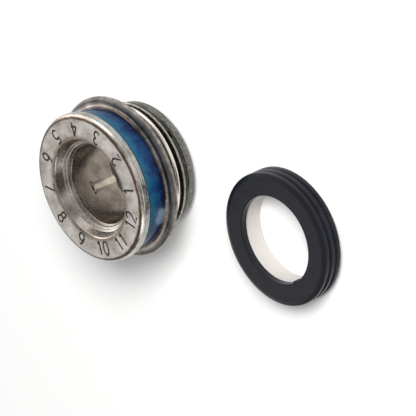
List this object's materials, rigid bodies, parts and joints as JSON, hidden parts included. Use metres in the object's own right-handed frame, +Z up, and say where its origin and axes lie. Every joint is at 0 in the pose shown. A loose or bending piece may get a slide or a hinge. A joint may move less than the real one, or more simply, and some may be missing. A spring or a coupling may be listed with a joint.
{
  "type": "mechanical seal",
  "caption": "Pump shaft seal in two halves: a sprung carbon ring in a flanged pressed-steel case, and a white ceramic ring in a ribbed rubber cup.",
  "frame": {"origin": "centre of the surface that both halves stand on, below the middle of their common box", "axes": "+Z up along both halves' shaft axes, from the running faces to the case's front face; +X from the head to the seat"},
  "size_m": [0.063, 0.0302, 0.0164],
  "materials": {
    "stainless_sheet": "drawn and tumbled",
    "spring_wire": "bright drawn",
    "dull_steel": "dull, as pressed",
    "blue_sealant": "painted film",
    "carbon": "lapped",
    "black_rubber": "moulded",
    "white_ceramic": "ground and lapped"
  },
  "bodies": {
    "root": {"case": "stainless_sheet", "sealant_band": "blue_sealant", "bellows_clamp": "stainless_sheet", "bellows": "black_rubber", "coil_spring": "spring_wire", "seat_cup": "black_rubber", "ceramic_ring": "white_ceramic"},
    "nose": {"spring_cup": "dull_steel", "drive_ring": "dull_steel", "carbon_ring": "carbon"}
  },
  "joints": [
    {"name": "face_float", "type": "slide", "parent": "root", "child": "nose", "axis": [0, 0, 1], "range_m": [0, 0.003], "stiffness_N_per_m": 8000, "springref_m": -0.001, "deforming": ["coil_spring", "bellows"]}
  ]
}
